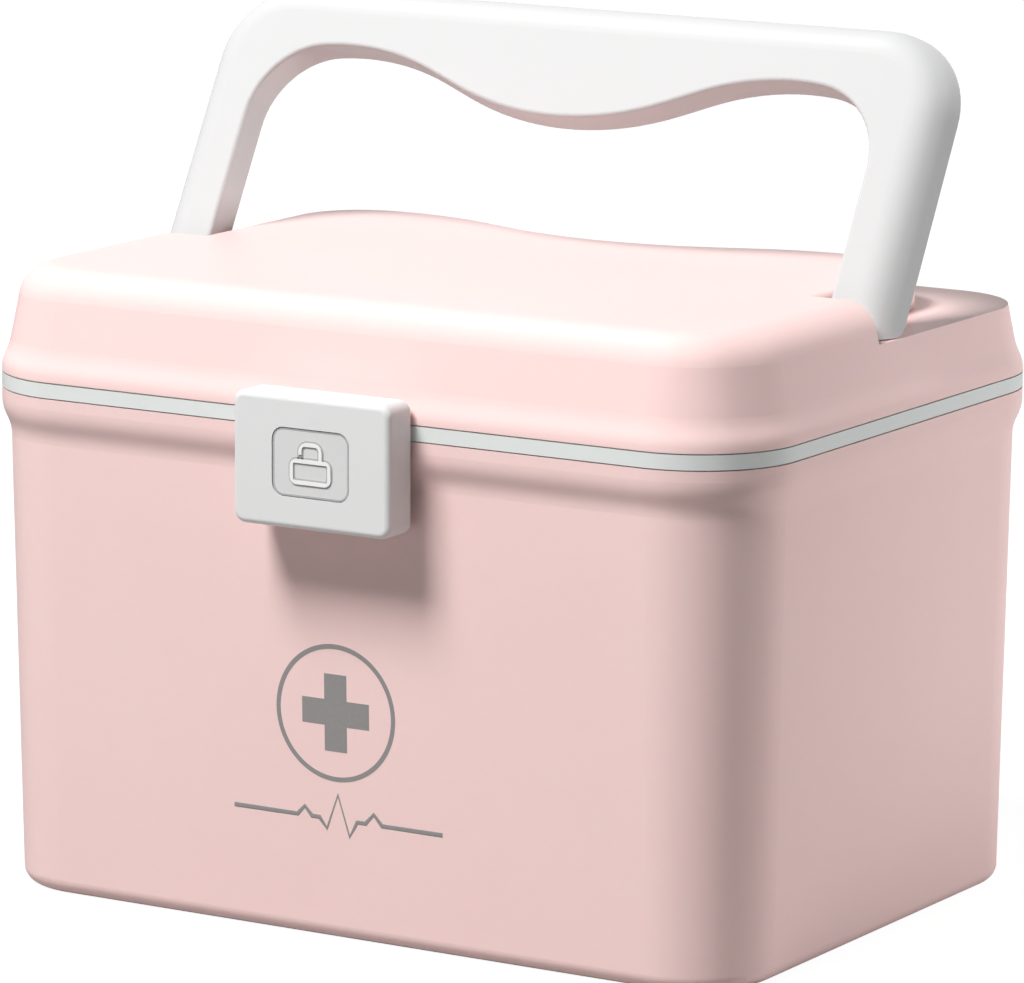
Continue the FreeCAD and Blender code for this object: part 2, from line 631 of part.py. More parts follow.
def sign_frame():
    """The padlock's body: a rounded frame of one stroke."""
    y0 = LATCH_FRONT + BADGE_SUNK - SIGN_RELIEF
    y1 = LATCH_FRONT + BADGE_RECESS / 2
    middle = LATCH_MIDDLE - SIGN_BOW_RISE / 2
    frame = rounded_plate(SIGN_BODY_WIDTH, SIGN_BODY_HEIGHT, 2 * SIGN_STROKE, y0, y1, middle)
    inner_width = SIGN_BODY_WIDTH - 2 * SIGN_STROKE
    inner_height = SIGN_BODY_HEIGHT - 2 * SIGN_STROKE
    opening = rounded_plate(
        inner_width, inner_height, SIGN_STROKE / 2, y0 - OVERSHOOT, y1 + OVERSHOOT, middle)
    return frame.cut(opening)


def sign_bow():
    """The padlock's open bow: an arch whose left foot ends above the body."""
    y0 = LATCH_FRONT + BADGE_SUNK - SIGN_RELIEF
    y1 = LATCH_FRONT + BADGE_RECESS / 2
    body_top = LATCH_MIDDLE - SIGN_BOW_RISE / 2 + SIGN_BODY_HEIGHT / 2
    height = 2 * SIGN_BOW_RISE
    outer = rounded_plate(SIGN_BOW_WIDTH, height, SIGN_BOW_WIDTH / 2 - SIGN_STROKE, y0, y1, body_top)
    inner = rounded_plate(
        SIGN_BOW_WIDTH - 2 * SIGN_STROKE, height - 2 * SIGN_STROKE, SIGN_STROKE,
        y0 - OVERSHOOT, y1 + OVERSHOOT, body_top)
    low = body_top - height
    foot = body_top - SIGN_STROKE / 2
    below = block(-SIGN_BOW_WIDTH, SIGN_BOW_WIDTH, y0 - OVERSHOOT, y1 + OVERSHOOT, low, foot)
    foot_high = body_top + SIGN_BOW_OPENING
    opening = block(-SIGN_BOW_WIDTH, 0, y0 - OVERSHOOT, y1 + OVERSHOOT, low, foot_high)
    return outer.cut([inner, below, opening])


def latch_badge():
    """A plate glued in the latch, a little below its face, with a raised padlock sign."""
    face = LATCH_FRONT + BADGE_SUNK
    seat = LATCH_FRONT + BADGE_RECESS
    plate = rounded_plate(BADGE_WIDTH, BADGE_HEIGHT, BADGE_RADIUS, face, seat, LATCH_MIDDLE)
    return one_solid(plate.multiFuse([sign_frame(), sign_bow()]).removeSplitter())


def latch_catch():
    """The inner part: a barrel on the pin, a plate behind the cover and a nose below the tub's rim."""
    half = LATCH_BARREL_LENGTH / 2
    plate_front = LATCH_FRONT + LATCH_FRONT_WALL
    low = LATCH_TOP - LATCH_HEIGHT + LATCH_WALL
    nose_low = low + CATCH_NOSE_LIFT
    nose_tip = -HALF_DEPTH - CATCH_GAP
    barrel = rod(LATCH_BARREL_DIAMETER, -half, half, LATCH_PIN_Y, LATCH_PIN_Z)
    plate = block(-half, half, plate_front, plate_front + CATCH_THICKNESS, low, LATCH_PIN_Z)
    nose_half = CATCH_NOSE_LENGTH / 2
    nose = block(-nose_half, nose_half, plate_front, nose_tip, nose_low, nose_low + CATCH_NOSE_HEIGHT)
    bore = rod(LATCH_PIN_DIAMETER + 2 * RUNNING_CLEARANCE, -half, half, LATCH_PIN_Y, LATCH_PIN_Z)
    return one_solid(barrel.multiFuse([plate, nose]).cut(bore).removeSplitter())


def latch_pin():
    half = LATCH_PIN_LENGTH / 2
    return rod(LATCH_PIN_DIAMETER, -half, half, LATCH_PIN_Y, LATCH_PIN_Z)


# Tray

def tray_inset():
    """Inset of the tray's outside below its flange."""
    return wall_inset(LEDGE_HEIGHT) + WALL + TRAY_CLEARANCE


def tray_profile(offset):
    low = LEDGE_HEIGHT - TRAY_DEPTH + offset
    side = CORNER_RADIUS - tray_inset() - offset - (wall_inset(low) - wall_inset(LEDGE_HEIGHT))
    radius = TRAY_EDGE_RADIUS - offset / 2
    edges = trace(Vector(0, 0, low), 0, [(side - radius,), (radius, 90)])
    top = LEDGE_HEIGHT + TRAY_FLANGE
    if offset > 0:
        return close_profile(edges, [(side, top + OVERSHOOT), (0, top + OVERSHOOT)])
    flange = CORNER_RADIUS - RIM_WIDTH - TRAY_CLEARANCE
    return close_profile(edges, [(side, LEDGE_HEIGHT), (flange, LEDGE_HEIGHT), (flange, top), (0, top)])


def tray_floor():
    return LEDGE_HEIGHT - TRAY_DEPTH + TRAY_WALL


def tray_half(half):
    """Half the clear width or depth inside the tray near its floor."""
    return half - tray_inset() - TRAY_WALL - (wall_inset(tray_floor()) - wall_inset(LEDGE_HEIGHT))


def divider_guides():
    """Pairs of ribs on the tray's walls that hold the ends of the dividers."""
    floor = tray_floor()
    top = floor + DIVIDER_HEIGHT
    slot = DIVIDER_THICKNESS / 2 + DIVIDER_CLEARANCE
    guides = []
    end = tray_half(HALF_LENGTH)
    for side in (-1, 1):
        for y in (DIVIDER_Y - slot - DIVIDER_RIB, DIVIDER_Y + slot):
            x = sorted((side * (end + TRAY_WALL / 2), side * (end - DIVIDER_RIB)))
            guides.append(block(x[0], x[1], y, y + DIVIDER_RIB, floor - TRAY_WALL / 2, top))
    end = tray_half(HALF_DEPTH)
    for side in (-1, 1):
        for centre in (-DIVIDER_SPACING / 2, DIVIDER_SPACING / 2):
            for x in (centre - slot - DIVIDER_RIB, centre + slot):
                y = sorted((side * (end + TRAY_WALL / 2), side * (end - DIVIDER_RIB)))
                guides.append(block(x, x + DIVIDER_RIB, y[0], y[1], floor - TRAY_WALL / 2, top))
    return guides


def tray_shell():
    shell = around(tray_profile(0)).cut(around(tray_profile(TRAY_WALL)))
    return one_solid(shell.multiFuse(divider_guides()).removeSplitter())


def divider(half, along_x):
    """A plate that stands on the tray's floor and spans it, its lower corners cut to the floor's curve."""
    floor = tray_floor()
    reach = half - DIVIDER_CLEARANCE
    thick = DIVIDER_THICKNESS / 2
    corner = TRAY_EDGE_RADIUS
    top = floor + DIVIDER_HEIGHT
    outline = [Vector(x, 0, z) for x, z in [
        (-reach, floor + corner), (-reach + corner, floor), (reach - corner, floor),
        (reach, floor + corner), (reach, top), (-reach, top)]]
    plate = Part.Face(Part.makePolygon(outline + outline[:1])).extrude(Vector(0, DIVIDER_THICKNESS, 0))
    plate.translate(Vector(0, -thick, 0))
    if not along_x:
        plate.rotate(Vector(), FLAT, 90)
    return plate


def cross_slot(x, y, z0, z1, along_x):
    """A half-lap slot at the crossing of two dividers."""
    half = DIVIDER_THICKNESS / 2 + DIVIDER_CLEARANCE
    reach = DIVIDER_THICKNESS
    if along_x:
        return block(x - half, x + half, y - reach, y + reach, z0, z1)
    return block(x - reach, x + reach, y - half, y + half, z0, z1)


def tray_divider_long():
    middle = tray_floor() + DIVIDER_HEIGHT / 2
    top = tray_floor() + DIVIDER_HEIGHT + OVERSHOOT
    plate = divider(tray_half(HALF_LENGTH), True)
    plate.translate(Vector(0, DIVIDER_Y, 0))
    slots = [cross_slot(x, DIVIDER_Y, middle, top, True) for x in (-DIVIDER_SPACING / 2, DIVIDER_SPACING / 2)]
    return one_solid(plate.cut(slots))


def tray_divider_short(side):
    middle = tray_floor() + DIVIDER_HEIGHT / 2
    plate = divider(tray_half(HALF_DEPTH), False)
    x = side * DIVIDER_SPACING / 2
    plate.translate(Vector(x, 0, 0))
    return one_solid(plate.cut(cross_slot(x, DIVIDER_Y, tray_floor() - OVERSHOOT, middle, False)))


def build():
    outside = lid_outside()
    pin = handle_pin()
    clip = handle_clip()
    return {
        "box_shell": box_shell(),
        "rim_band": rim_band(),
        "hinge_pin_left": hinge_pin(-1),
        "hinge_pin_right": hinge_pin(1),
        "tray_shell": tray_shell(),
        "tray_divider_long": tray_divider_long(),
        "tray_divider_left": tray_divider_short(-1),
        "tray_divider_right": tray_divider_short(1),
        "lid_shell": lid_shell(outside),
        "handle_shell": raise_handle(handle_shell(outside)),
        "handle_back_cover": raise_handle(handle_back_cover()),
        "handle_pin_left": mirrored(pin),
        "handle_pin_right": pin,
        "handle_clip_left": mirrored(clip),
        "handle_clip_right": clip,
        "latch_cover": latch_cover(),
        "latch_badge": latch_badge(),
        "latch_catch": latch_catch(),
        "latch_pin": latch_pin(),
        "latch_bracket": latch_bracket(),
    }


os.makedirs("parts", exist_ok=True)
for name, shape in build().items():
    if not shape.isValid():
        raise ValueError("%s is not valid" % name)
    shape.exportStep("parts/%s.step" % name)
    print(name, len(shape.Solids), round(shape.Volume / 1000, 2), "cm3")
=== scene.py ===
import math

import bmesh
import bpy
from mathutils import Matrix, Vector


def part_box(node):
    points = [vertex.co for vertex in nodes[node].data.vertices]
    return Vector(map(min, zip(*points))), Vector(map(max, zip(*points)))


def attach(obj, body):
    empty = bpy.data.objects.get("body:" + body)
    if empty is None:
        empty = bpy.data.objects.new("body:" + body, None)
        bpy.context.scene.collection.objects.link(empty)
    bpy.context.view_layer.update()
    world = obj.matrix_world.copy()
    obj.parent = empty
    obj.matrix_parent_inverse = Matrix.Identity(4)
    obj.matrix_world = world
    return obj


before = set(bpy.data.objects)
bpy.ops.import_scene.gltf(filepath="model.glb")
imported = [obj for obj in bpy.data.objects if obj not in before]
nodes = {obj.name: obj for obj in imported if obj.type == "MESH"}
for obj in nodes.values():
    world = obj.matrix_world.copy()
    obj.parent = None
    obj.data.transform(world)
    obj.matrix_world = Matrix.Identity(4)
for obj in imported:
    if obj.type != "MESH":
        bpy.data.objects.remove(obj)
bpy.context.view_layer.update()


# Camera. A long lens, a little above the lid and to the right of the front.
# Its place, aim and roll were solved from the outline of the rim in the photograph.

camera_place = Vector((0.99267, -1.62030, 0.48168))
camera_aim = Vector((-0.00024, 0.0, 0.11588))
camera_roll = math.radians(0.2245)

lens = bpy.data.cameras.new("camera")
lens.lens = 232.37
lens.sensor_width = 36.0
lens.sensor_fit = "HORIZONTAL"
lens.clip_start = 0.1
lens.clip_end = 30.0
camera = bpy.data.objects.new("camera", lens)
turn = (camera_aim - camera_place).to_track_quat("-Z", "Y").to_matrix().to_4x4()
camera.matrix_world = Matrix.Translation(camera_place) @ turn @ Matrix.Rotation(camera_roll, 4, "Z")
bpy.context.scene.collection.objects.link(camera)
bpy.context.scene.camera = camera
bpy.context.scene.view_settings.view_transform = "Standard"


# Surroundings. A plain white table top and a white room.
# Both look pure white to the camera, and the table keeps a soft shadow of the box.

def linear(colour):
    """Linear red, green, blue and alpha of an sRGB hex colour."""
    channels = [int(colour[i:i + 2], 16) / 255 for i in (1, 3, 5)]
    return [c / 12.92 if c <= 0.04045 else ((c + 0.055) / 1.055) ** 2.4 for c in channels] + [1.0]


def add_node(tree, kind, values=None, links=None, **settings):
    """Adds a node with its settings, the values of its free sockets and the links of the others."""
    node = tree.nodes.new(kind)
    for name, value in settings.items():
        setattr(node, name, value)
    for socket, value in (values or {}).items():
        node.inputs[socket].default_value = value
    for socket, source in (links or {}).items():
        tree.links.new(source, node.inputs[socket])
    return node


table_half_width = 4.0
table_glow_share = 0.80
table_glow = 1.18
room_light = 0.10

table_mesh = bmesh.new()
bmesh.ops.create_grid(table_mesh, x_segments=1, y_segments=1, size=table_half_width)
table_data = bpy.data.meshes.new("table_top")
table_mesh.to_mesh(table_data)
table_mesh.free()
table_top = bpy.data.objects.new("table_top", table_data)
bpy.context.scene.collection.objects.link(table_top)

painted_table = bpy.data.materials.new("painted_table")
painted_table.use_nodes = True
tree = painted_table.node_tree
tree.nodes.clear()
rays = add_node(tree, "ShaderNodeLightPath")
share = add_node(tree, "ShaderNodeMath", {1: table_glow_share}, {0: rays.outputs["Is Camera Ray"]},
                 operation="MULTIPLY")
greys = add_node(tree, "ShaderNodeMix", {6: linear("#A2A09F"), 7: linear("#F2F1F0")},
                 {0: rays.outputs["Is Camera Ray"]}, data_type="RGBA")
paint = add_node(tree, "ShaderNodeBsdfDiffuse", None, {"Color": greys.outputs[2]})
glow = add_node(tree, "ShaderNodeEmission", {"Color": (1, 1, 1, 1), "Strength": table_glow})
mixed = add_node(tree, "ShaderNodeMixShader", None,
                 {0: share.outputs[0], 1: paint.outputs[0], 2: glow.outputs[0]})
add_node(tree, "ShaderNodeOutputMaterial", None, {"Surface": mixed.outputs[0]})
table_data.materials.append(painted_table)

room = bpy.data.worlds.new("room")
room.use_nodes = True
tree = room.node_tree
tree.nodes.clear()
rays = add_node(tree, "ShaderNodeLightPath")
seen = add_node(tree, "ShaderNodeMath", None,
                {0: rays.outputs["Is Camera Ray"], 1: rays.outputs["Is Transmission Ray"]},
                operation="MAXIMUM")
seen_or_mirrored = add_node(tree, "ShaderNodeMath", None,
                            {0: seen.outputs[0], 1: rays.outputs["Is Glossy Ray"]}, operation="MAXIMUM")
strength = add_node(tree, "ShaderNodeMapRange",
                    {"From Min": 0.0, "From Max": 1.0, "To Min": room_light, "To Max": 1.0},
                    {"Value": seen_or_mirrored.outputs[0]})
air = add_node(tree, "ShaderNodeBackground", {"Color": (1, 1, 1, 1)},
               {"Strength": strength.outputs["Result"]})
add_node(tree, "ShaderNodeOutputWorld", None, {"Surface": air.outputs[0]})
bpy.context.scene.world = room


# Lamps. A soft box high at the front left, whose light falls under the latch as a soft shadow,
# a low one behind the right end, and a strip on the left that only draws highlights.

def add_lamp(name, bearing, height, distance, aim, size, spread, watts):
    """A square soft box turned to a point; the bearing counts from the front towards the right."""
    lamp = bpy.data.lights.new(name, "AREA")
    lamp.shape = "SQUARE"
    lamp.size = size
    lamp.energy = watts
    lamp.spread = math.radians(spread)
    lamp_object = bpy.data.objects.new(name, lamp)
    side = math.radians(bearing)
    rise = math.radians(height)
    away = Vector((math.cos(rise) * math.sin(side), -math.cos(rise) * math.cos(side), math.sin(rise)))
    lamp_object.location = Vector(aim) + away * distance
    lamp_object.rotation_euler = away.to_track_quat("Z", "Y").to_euler()
    bpy.context.scene.collection.objects.link(lamp_object)
    return lamp_object


front_lamp = add_lamp("front_left_soft_box", bearing=-20.0, height=57.0, distance=2.6,
                      aim=(0, 0, 0.10), size=0.9, spread=180.0, watts=95.0)
front_lamp.visible_glossy = False
rear_lamp = add_lamp("right_rear_soft_box", bearing=136.0, height=0.0, distance=1.4,
                     aim=(0, 0, 0.05), size=0.3, spread=36.0, watts=0.95)
rear_lamp.visible_glossy = False
strip_lamp = add_lamp("highlight_strip", bearing=-95.0, height=59.0, distance=1.5,
                      aim=(0, 0, 0.15), size=0.3, spread=180.0, watts=6.0)
strip_lamp.visible_diffuse = False


# Tub and lid. Two injection mouldings of pale pink polypropylene, 2.2 mm thick.
# The mould's fine spark finish leaves them satin, with soft broad highlights.

def coat(names, material):
    """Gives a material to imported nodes."""
    for name in names:
        nodes[name].material_slots[0].material = material


def start_material(name):
    """A new node material, its tree and where its output is linked."""
    material = bpy.data.materials.new(name)
    material.use_nodes = True
    material.node_tree.nodes.clear()
    return material, material.node_tree


pink_cloud_size = 0.060
pink_grain_size = 0.0006
pink_grain_depth = 0.00001

# Polypropylene takes pigment a little unevenly, so two near pinks drift over 60 mm. The spark finish
# has a grain of about 0.1 mm; it is drawn 0.6 mm wide, the finest that the render shows.
spark_finished_polypropylene, tree = start_material("spark_finished_polypropylene")
place = add_node(tree, "ShaderNodeTexCoord")
cloud = add_node(tree, "ShaderNodeTexNoise", {"Scale": 1 / pink_cloud_size, "Detail": 2.0},
                 {"Vector": place.outputs["Object"]})
pinks = add_node(tree, "ShaderNodeMix", {6: linear("#EFCFCC"), 7: linear("#F1D3D0")},
                 {0: cloud.outputs["Fac"]}, data_type="RGBA")
grain = add_node(tree, "ShaderNodeTexNoise", {"Scale": 1 / pink_grain_size, "Detail": 1.0},
                 {"Vector": place.outputs["Object"]})
satin = add_node(tree, "ShaderNodeMapRange", {"To Min": 0.36, "To Max": 0.46},
                 {"Value": grain.outputs["Fac"]})
dimples = add_node(tree, "ShaderNodeBump", {"Strength": 1.0, "Distance": pink_grain_depth},
                   {"Height": grain.outputs["Fac"]})
surface = add_node(tree, "ShaderNodeBsdfPrincipled",
                   {"IOR": 1.49, "Specular IOR Level": 0.35, "Subsurface Weight": 0.06,
                    "Subsurface Scale": 0.002},
                   {"Base Color": pinks.outputs[2], "Roughness": satin.outputs["Result"],
                    "Normal": dimples.outputs["Normal"]})
add_node(tree, "ShaderNodeOutputMaterial", None, {"Surface": surface.outputs[0]})
coat(["box_shell", "lid_shell"], spark_finished_polypropylene)


# Rim band. A ring of white polypropylene that snaps on the tub's rim, with a shadow groove
# above and below it. It is moulded smooth and looks a little cooler than the handle.

band_drift_size = 0.040
band_low, band_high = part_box("rim_band")
band_middle_z = (band_low.z + band_high.z) / 2
band_half_height = (band_high.z - band_low.z) / 2
groove_shade_width = 0.0005

# Moulded smooth, polypropylene is a soft mirror with a slow drift of its white. The band's edges end in a
# thin grey line of painted shade, where the two grooves lie in shadow.
white_band, tree = start_material("smooth_polypropylene")
place = add_node(tree, "ShaderNodeTexCoord")
drift = add_node(tree, "ShaderNodeTexNoise", {"Scale": 1 / band_drift_size, "Detail": 2.0},
                 {"Vector": place.outputs["Object"]})
clean_whites = add_node(tree, "ShaderNodeMix", {6: linear("#DADFDD"), 7: linear("#E0E4E2")},
                        {0: drift.outputs["Fac"]}, data_type="RGBA")
height = add_node(tree, "ShaderNodeSeparateXYZ", None, {"Vector": place.outputs["Object"]})
from_middle = add_node(tree, "ShaderNodeMath", {1: band_middle_z}, {0: height.outputs["Z"]},
                       operation="SUBTRACT")
off_middle = add_node(tree, "ShaderNodeMath", None, {0: from_middle.outputs[0]}, operation="ABSOLUTE")
# The mask of the painted shade along the band's top and bottom edges.
painted_groove_shade = add_node(tree, "ShaderNodeMapRange",
                {"From Min": band_half_height - groove_shade_width, "From Max": band_half_height},
                {"Value": off_middle.outputs[0]}, interpolation_type="SMOOTHSTEP")
whites = add_node(tree, "ShaderNodeMix", {7: linear("#857B78")},
                  {0: painted_groove_shade.outputs["Result"], 6: clean_whites.outputs[2]}, data_type="RGBA")
satin = add_node(tree, "ShaderNodeMapRange", {"To Min": 0.28, "To Max": 0.38},
                 {"Value": drift.outputs["Fac"]})
surface = add_node(tree, "ShaderNodeBsdfPrincipled", {"IOR": 1.49},
                   {"Base Color": whites.outputs[2], "Roughness": satin.outputs["Result"]})
add_node(tree, "ShaderNodeOutputMaterial", None, {"Surface": surface.outputs[0]})
coat(["rim_band"], white_band)


# Handle. A channel of white polypropylene with a cover snapped in its back, which turns on two pins.
# Its skin is fine-grained and matt, so its edges stay soft.

white_drift_size = 0.050
white_grain_size = 0.0005
white_grain_depth = 0.000004


def grained_white(name, whites, smoothest, roughest, ior):
    """A moulded white plastic with a fine grain of 0.1 mm, drawn 0.5 mm wide, the finest that shows.
    Its white drifts over 50 mm between two near ones, as the melt flowed."""
    material, tree = start_material(name)
    place = add_node(tree, "ShaderNodeTexCoord")
    drift = add_node(tree, "ShaderNodeTexNoise", {"Scale": 1 / white_drift_size, "Detail": 2.0},
                     {"Vector": place.outputs["Object"]})
    shade = add_node(tree, "ShaderNodeMix", {6: linear(whites[0]), 7: linear(whites[1])},
                     {0: drift.outputs["Fac"]}, data_type="RGBA")
    grain = add_node(tree, "ShaderNodeTexNoise", {"Scale": 1 / white_grain_size, "Detail": 1.0},
                     {"Vector": place.outputs["Object"]})
    satin = add_node(tree, "ShaderNodeMapRange", {"To Min": smoothest, "To Max": roughest},
                     {"Value": grain.outputs["Fac"]})
    dimples = add_node(tree, "ShaderNodeBump", {"Strength": 1.0, "Distance": white_grain_depth},
                       {"Height": grain.outputs["Fac"]})
    surface = add_node(tree, "ShaderNodeBsdfPrincipled", {"IOR": ior},
                       {"Base Color": shade.outputs[2], "Roughness": satin.outputs["Result"],
                        "Normal": dimples.outputs["Normal"]})
    add_node(tree, "ShaderNodeOutputMaterial", None, {"Surface": surface.outputs[0]})
    return material


# The handle's mould is blasted, which leaves the polypropylene matt and soft to the eye. Its white is
# painted greyer than the latch's, a painted shade that offsets the stronger light on its faces.
matt_polypropylene = grained_white("matt_moulded_polypropylene", ("#C9CACA", "#CDCDCD"),
                                   smoothest=0.38, roughest=0.46, ior=1.49)
coat(["handle_shell", "handle_back_cover"], matt_polypropylene)


# Latch. A hollow block of white ABS with its catch inside, which hangs on a pin in a bracket that is welded
# to the lid. It is a little glossier than the handle, and whiter only because the handle's white is painted
# darker.

# ABS is opaque and takes a tighter highlight than polypropylene.
fine_moulded_abs = grained_white("fine_moulded_abs", ("#DCDDDD", "#E0E0E0"),
                                 smoothest=0.30, roughest=0.38, ior=1.54)
coat(["latch_cover", "latch_catch", "latch_bracket"], fine_moulded_abs)


# Badge. A small plate of the same ABS, glued in a seat in the latch, a shade greyer than it. Its padlock
# sign stands 0.35 mm proud, with thin strips of painted shade laid round it and round the plate's edge.

sign_stroke = 0.0011
sign_relief = 0.00035
badge_low, badge_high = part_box("latch_badge")
badge_face_y = badge_low.y + sign_relief
badge_middle_z = (badge_low.z + badge_high.z) / 2
badge_size = (badge_high.x - badge_low.x, badge_high.z - badge_low.z)
badge_corner = 0.0035

# The padlock's body and its bow: width, height and the height of the middle above the table.
sign_body = (0.0136, 0.0072, 0.1386)
sign_bow = (0.0078, 0.0096, 0.1422)

corner_segments = 10
shadow_line_width = 0.00050
shadow_line_depth = 0.00003


def rounded_ring(width, height, radius, stroke):
    """A flat ring between two rounded rectangles, lying in the ground plane round the origin."""
    ring = bmesh.new()
    bmesh.ops.create_grid(ring, x_segments=1, y_segments=1, size=0.5)
    bmesh.ops.scale(ring, vec=(width, height, 1), verts=ring.verts)
    bmesh.ops.bevel(ring, geom=ring.verts[:], offset=radius, offset_type="OFFSET", segments=corner_segments,
                    profile=0.5, affect="VERTICES", material=-1)
    middle = ring.faces[:]
    bmesh.ops.inset_region(ring, faces=middle, thickness=stroke, use_boundary=True,
                           use_even_offset=True)
    bmesh.ops.delete(ring, geom=middle, context="FACES")
    return ring


def onto_wall(place, lean):
    """Turns the ground plane to face the front, on a wall through a place that leans outward."""
    upright = Matrix.Rotation(math.radians(90), 4, "X")
    lean_out = Matrix(((1, 0, 0, 0), (0, 1, -lean, 0), (0, 0, 1, 0), (0, 0, 0, 1)))
    return lean_out @ Matrix.Translation(place) @ upright


def stand_up(flat, depth, place, lean=0.0):
    """Thickens a flat shape and sets it on a wall that faces the front."""
    bmesh.ops.solidify(flat, geom=flat.faces[:] + flat.edges[:] + flat.verts[:], thickness=depth)
    lowest = min(v.co.z for v in flat.verts)
    bmesh.ops.translate(flat, vec=(0, 0, -lowest), verts=flat.verts)
    bmesh.ops.transform(flat, matrix=onto_wall(place, lean), verts=flat.verts)
    bmesh.ops.recalc_face_normals(flat, faces=flat.faces)


def finish_piece(name, parts, material, body):
    """Joins flat shapes into one piece that rides on a body."""
    data = bpy.data.meshes.new(name)
    joined = bmesh.new()
    for part in parts:
        part.to_mesh(data)
        part.free()
        joined.from_mesh(data)
    joined.to_mesh(data)
    joined.free()
    data.materials.append(material)
    piece = bpy.data.objects.new(name, data)
    bpy.context.scene.collection.objects.link(piece)
    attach(piece, body)
    return piece


# The plate is left a shade greyer than the latch. The strokes of its sign are painted paler from the
# plate's face outwards: a painted highlight, as they stand proud into the light.
grey_abs, tree = start_material("grey_moulded_abs")
place = add_node(tree, "ShaderNodeTexCoord")
grain = add_node(tree, "ShaderNodeTexNoise", {"Scale": 1 / white_grain_size, "Detail": 1.0},
                 {"Vector": place.outputs["Object"]})
plate_greys = add_node(tree, "ShaderNodeMix", {6: linear("#D4D4D4"), 7: linear("#D8D8D8")},
                       {0: grain.outputs["Fac"]}, data_type="RGBA")
depth = add_node(tree, "ShaderNodeSeparateXYZ", None, {"Vector": place.outputs["Object"]})
stroke_highlight = add_node(tree, "ShaderNodeMapRange",
                  {"From Min": badge_face_y, "From Max": badge_face_y - sign_relief},
                  {"Value": depth.outputs["Y"]})
greys = add_node(tree, "ShaderNodeMix", {7: linear("#EEEEEE")},
                 {0: stroke_highlight.outputs["Result"], 6: plate_greys.outputs[2]}, data_type="RGBA")
surface = add_node(tree, "ShaderNodeBsdfPrincipled", {"IOR": 1.54, "Roughness": 0.36},
                   {"Base Color": greys.outputs[2]})
add_node(tree, "ShaderNodeOutputMaterial", None, {"Surface": surface.outputs[0]})
coat(["latch_badge"], grey_abs)

# The lines are grey strips of the same ABS laid on the plate: painted shade, darker where grooves would let
# little light in.
painted_shade_abs, tree = start_material("painted_shade_abs_line")
place = add_node(tree, "ShaderNodeTexCoord")
grain = add_node(tree, "ShaderNodeTexNoise", {"Scale": 1 / white_grain_size, "Detail": 1.0},
                 {"Vector": place.outputs["Object"]})
greys = add_node(tree, "ShaderNodeMix", {6: linear("#A8A8A8"), 7: linear("#B0B0B0")},
                 {0: grain.outputs["Fac"]}, data_type="RGBA")
surface = add_node(tree, "ShaderNodeBsdfPrincipled", {"IOR": 1.54, "Roughness": 0.5},
                   {"Base Color": greys.outputs[2]})
add_node(tree, "ShaderNodeOutputMaterial", None, {"Surface": surface.outputs[0]})

line_and_stroke = sign_stroke + 2 * shadow_line_width
body_line = rounded_ring(sign_body[0] + 2 * shadow_line_width, sign_body[1] + 2 * shadow_line_width,
                         2 * sign_stroke + shadow_line_width, line_and_stroke)
stand_up(body_line, shadow_line_depth, (0, badge_face_y, sign_body[2]))
bow_line = rounded_ring(sign_bow[0] + 2 * shadow_line_width, sign_bow[1] + 2 * shadow_line_width,
                        sign_bow[0] / 2 - sign_stroke + shadow_line_width, line_and_stroke)
bmesh.ops.bisect_plane(bow_line, geom=bow_line.verts[:] + bow_line.edges[:] + bow_line.faces[:],
                       plane_co=(0, 0, 0), plane_no=(0, 1, 0), clear_inner=True)
stand_up(bow_line, shadow_line_depth, (0, badge_face_y, sign_bow[2]))
plate_line = rounded_ring(badge_size[0], badge_size[1], badge_corner, shadow_line_width)
stand_up(plate_line, shadow_line_depth, (0, badge_face_y, badge_middle_z))
sign_lines = finish_piece("sign_shadow_lines", [body_line, bow_line, plate_line], painted_shade_abs, "latch")


# Print. One pass of grey screen ink on the front of the tub, a few hundredths of a millimetre thick:
# a ring with a plus sign, and a pulse line below them.

print_depth = 0.00004
print_line = 0.0014
ring_middle = (-0.0027, 0.0665)
ring_size = 0.0400
ring_segments = 96
plus_size = 0.0225
pulse_height = 0.0355
ink_mottle_size = 0.0012
wall_y = -0.0898
wall_rise = 0.1340
wall_overhang = 0.0025
wall_lean = wall_overhang / wall_rise

# The corners of the pulse line, across the wall and up from the line's own height.
pulse_points = [(-0.0376, 0), (-0.0160, 0), (-0.0135, 0.0026), (-0.0110, 0), (-0.0085, 0),
                (-0.0060, -0.0030), (-0.0022, 0.0072), (0.0016, -0.0046), (0.0042, 0), (0.0070, 0),
                (0.0098, 0.0030), (0.0126, 0), (0.0328, 0)]

# Screen ink dries matt and a little uneven, with the satin of the plastic just showing through.
screen_ink, tree = start_material("screen_printed_ink")
place = add_node(tree, "ShaderNodeTexCoord")
mottle = add_node(tree, "ShaderNodeTexNoise", {"Scale": 1 / ink_mottle_size, "Detail": 3.0},
                  {"Vector": place.outputs["Object"]})
greys = add_node(tree, "ShaderNodeMix", {6: linear("#868483"), 7: linear("#92908F")},
                 {0: mottle.outputs["Fac"]}, data_type="RGBA")
dull = add_node(tree, "ShaderNodeMapRange", {"To Min": 0.50, "To Max": 0.62},
                {"Value": mottle.outputs["Fac"]})
surface = add_node(tree, "ShaderNodeBsdfPrincipled", {"IOR": 1.5},
                   {"Base Color": greys.outputs[2], "Roughness": dull.outputs["Result"]})
add_node(tree, "ShaderNodeOutputMaterial", None, {"Surface": surface.outputs[0]})

ring = bmesh.new()
bmesh.ops.create_circle(ring, cap_ends=True, radius=ring_size / 2, segments=ring_segments)
disc = ring.faces[:]
bmesh.ops.inset_region(ring, faces=disc, thickness=print_line, use_boundary=True,
                       use_even_offset=True)
bmesh.ops.delete(ring, geom=disc, context="FACES")
stand_up(ring, print_depth, (ring_middle[0], wall_y, ring_middle[1]), wall_lean)

